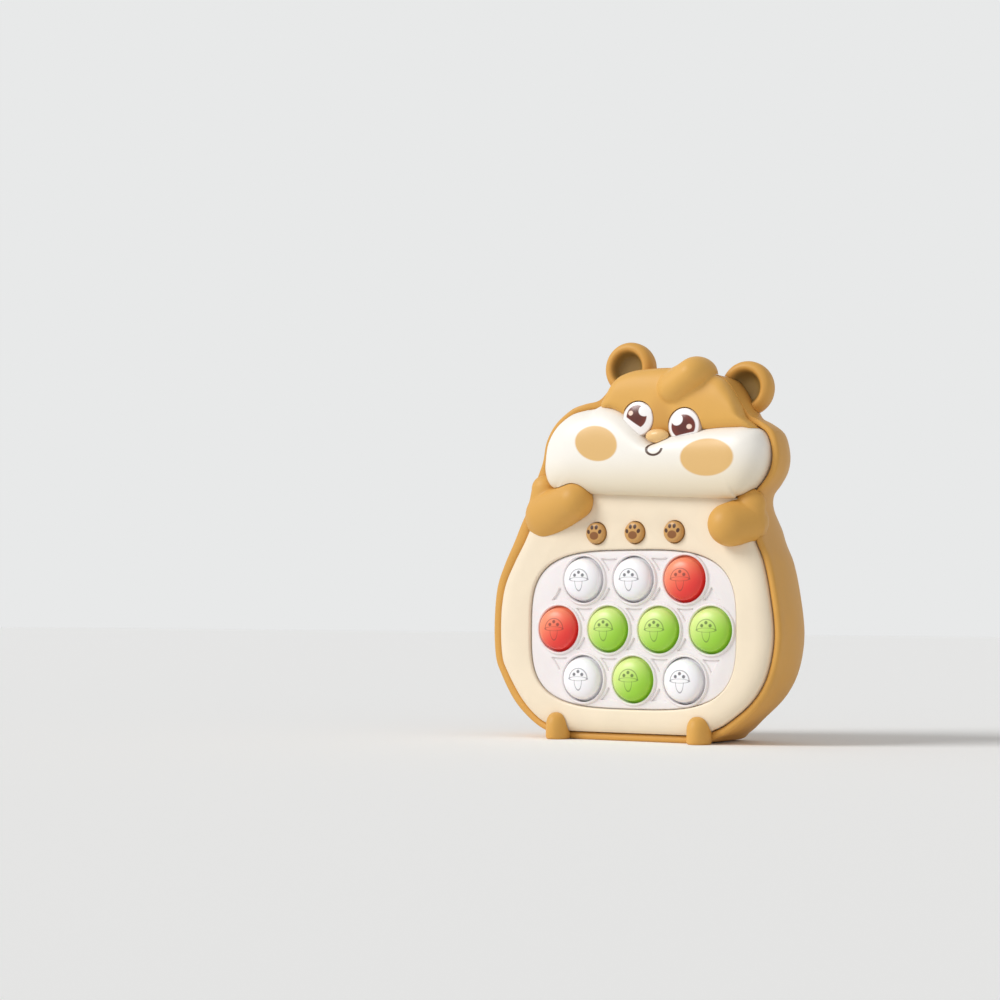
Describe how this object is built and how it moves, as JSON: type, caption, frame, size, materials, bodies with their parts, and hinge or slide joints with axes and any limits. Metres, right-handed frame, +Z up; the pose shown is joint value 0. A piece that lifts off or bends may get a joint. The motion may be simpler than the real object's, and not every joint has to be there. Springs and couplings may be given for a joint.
{
  "type": "electronic bubble pop game",
  "caption": "Hand-held battery game in a chubby hamster case, with press-in light-up bubbles in a silicone mat, small keys and a rear battery door.",
  "frame": {"origin": "middle of the footprint's bounding box, at the height of the surface that the toy stands on", "axes": "+Z up, the front with the face and the bubbles looks along -Y, and +X is the right-hand side of a person who looks at the front"},
  "size_m": [0.1185, 0.0498, 0.146],
  "materials": {
    "tan": "caramel tan satin plastic",
    "cream": "cream satin plastic",
    "white": "warm white satin plastic with two printed tan cheek spots and a printed smile",
    "eye": "white gloss plastic with a printed dark red-brown iris",
    "nose": "light tan satin plastic",
    "mat": "lilac-white silicone",
    "grid": "white plastic",
    "red": "translucent silicone lit red, with a printed line motif",
    "green": "translucent silicone lit green, with a printed line motif",
    "unlit": "translucent white silicone, with a printed line motif",
    "board": "green solder mask",
    "switch": "black plastic",
    "steel": "plated steel",
    "cell": "plain dark sleeve over a metal can",
    "paper": "black speaker cone",
    "lead": "red insulated wire"
  },
  "bodies": {
    "case": {"battery_1": "cell", "battery_2": "cell", "battery_3": "cell", "battery_leads": "lead", "bubble_mat": "mat", "bubble_switch_01": "switch", "bubble_switch_02": "switch", "bubble_switch_03": "switch", "bubble_switch_04": "switch", "bubble_switch_05": "switch", "bubble_switch_06": "switch", "bubble_switch_07": "switch", "bubble_switch_08": "switch", "bubble_switch_09": "switch", "bubble_switch_10": "switch", "case_screw_1": "steel", "case_screw_2": "steel", "case_screw_3": "steel", "case_screw_4": "steel", "cheek_shell": "white", "contact_bridge_left": "steel", "contact_bridge_right": "steel", "contact_single_left": "steel", "contact_single_right": "steel", "front_shell": "cream", "head_shell": "tan", "left_arm": "tan", "left_ear": "tan", "left_eye": "eye", "left_foot": "tan", "light_grid": "grid", "main_board": "board", "mode_switch": "switch", "nose": "nose", "power_switch": "switch", "rear_shell": "tan", "right_arm": "tan", "right_ear": "tan", "right_eye": "eye", "right_foot": "tan", "speaker_cone": "paper", "speaker_frame": "steel", "speaker_leads": "lead", "volume_switch": "switch"},
    "bubble_01": {"bubble_01": "unlit"},
    "bubble_02": {"bubble_02": "unlit"},
    "bubble_03": {"bubble_03": "red"},
    "bubble_04": {"bubble_04": "red"},
    "bubble_05": {"bubble_05": "green"},
    "bubble_06": {"bubble_06": "green"},
    "bubble_07": {"bubble_07": "green"},
    "bubble_08": {"bubble_08": "unlit"},
    "bubble_09": {"bubble_09": "green"},
    "bubble_10": {"bubble_10": "unlit"},
    "mode_key": {"mode_key": "tan"},
    "power_key": {"power_key": "tan"},
    "volume_key": {"volume_key": "tan"},
    "battery_door": {"battery_door": "tan", "door_screw": "steel"}
  },
  "joints": [
    {"name": "bubble_01_press", "type": "slide", "parent": "case", "child": "bubble_01", "axis": [0, 1, 0], "range_m": [0, 0.0035], "stiffness_N_per_m": 300},
    {"name": "bubble_02_press", "type": "slide", "parent": "case", "child": "bubble_02", "axis": [0, 1, 0], "range_m": [0, 0.0035], "stiffness_N_per_m": 300},
    {"name": "bubble_03_press", "type": "slide", "parent": "case", "child": "bubble_03", "axis": [0, 1, 0], "range_m": [0, 0.0035], "stiffness_N_per_m": 300},
    {"name": "bubble_04_press", "type": "slide", "parent": "case", "child": "bubble_04", "axis": [0, 1, 0], "range_m": [0, 0.0035], "stiffness_N_per_m": 300},
    {"name": "bubble_05_press", "type": "slide", "parent": "case", "child": "bubble_05", "axis": [0, 1, 0], "range_m": [0, 0.0035], "stiffness_N_per_m": 300},
    {"name": "bubble_06_press", "type": "slide", "parent": "case", "child": "bubble_06", "axis": [0, 1, 0], "range_m": [0, 0.0035], "stiffness_N_per_m": 300},
    {"name": "bubble_07_press", "type": "slide", "parent": "case", "child": "bubble_07", "axis": [0, 1, 0], "range_m": [0, 0.0035], "stiffness_N_per_m": 300},
    {"name": "bubble_08_press", "type": "slide", "parent": "case", "child": "bubble_08", "axis": [0, 1, 0], "range_m": [0, 0.0035], "stiffness_N_per_m": 300},
    {"name": "bubble_09_press", "type": "slide", "parent": "case", "child": "bubble_09", "axis": [0, 1, 0], "range_m": [0, 0.0035], "stiffness_N_per_m": 300},
    {"name": "bubble_10_press", "type": "slide", "parent": "case", "child": "bubble_10", "axis": [0, 1, 0], "range_m": [0, 0.0035], "stiffness_N_per_m": 300},
    {"name": "mode_key_press", "type": "slide", "parent": "case", "child": "mode_key", "axis": [0, 1, 0], "range_m": [0, 0.0008], "stiffness_N_per_m": 1000},
    {"name": "power_key_press", "type": "slide", "parent": "case", "child": "power_key", "axis": [0, 1, 0], "range_m": [0, 0.0008], "stiffness_N_per_m": 1000},
    {"name": "volume_key_press", "type": "slide", "parent": "case", "child": "volume_key", "axis": [0, 1, 0], "range_m": [0, 0.0008], "stiffness_N_per_m": 1000},
    {"name": "battery_door_swing", "type": "hinge", "parent": "case", "child": "battery_door", "pos_m": [0, 0.02475, 0.02615], "axis": [-1, 0, 0], "range_deg": [0, 80]}
  ]
}
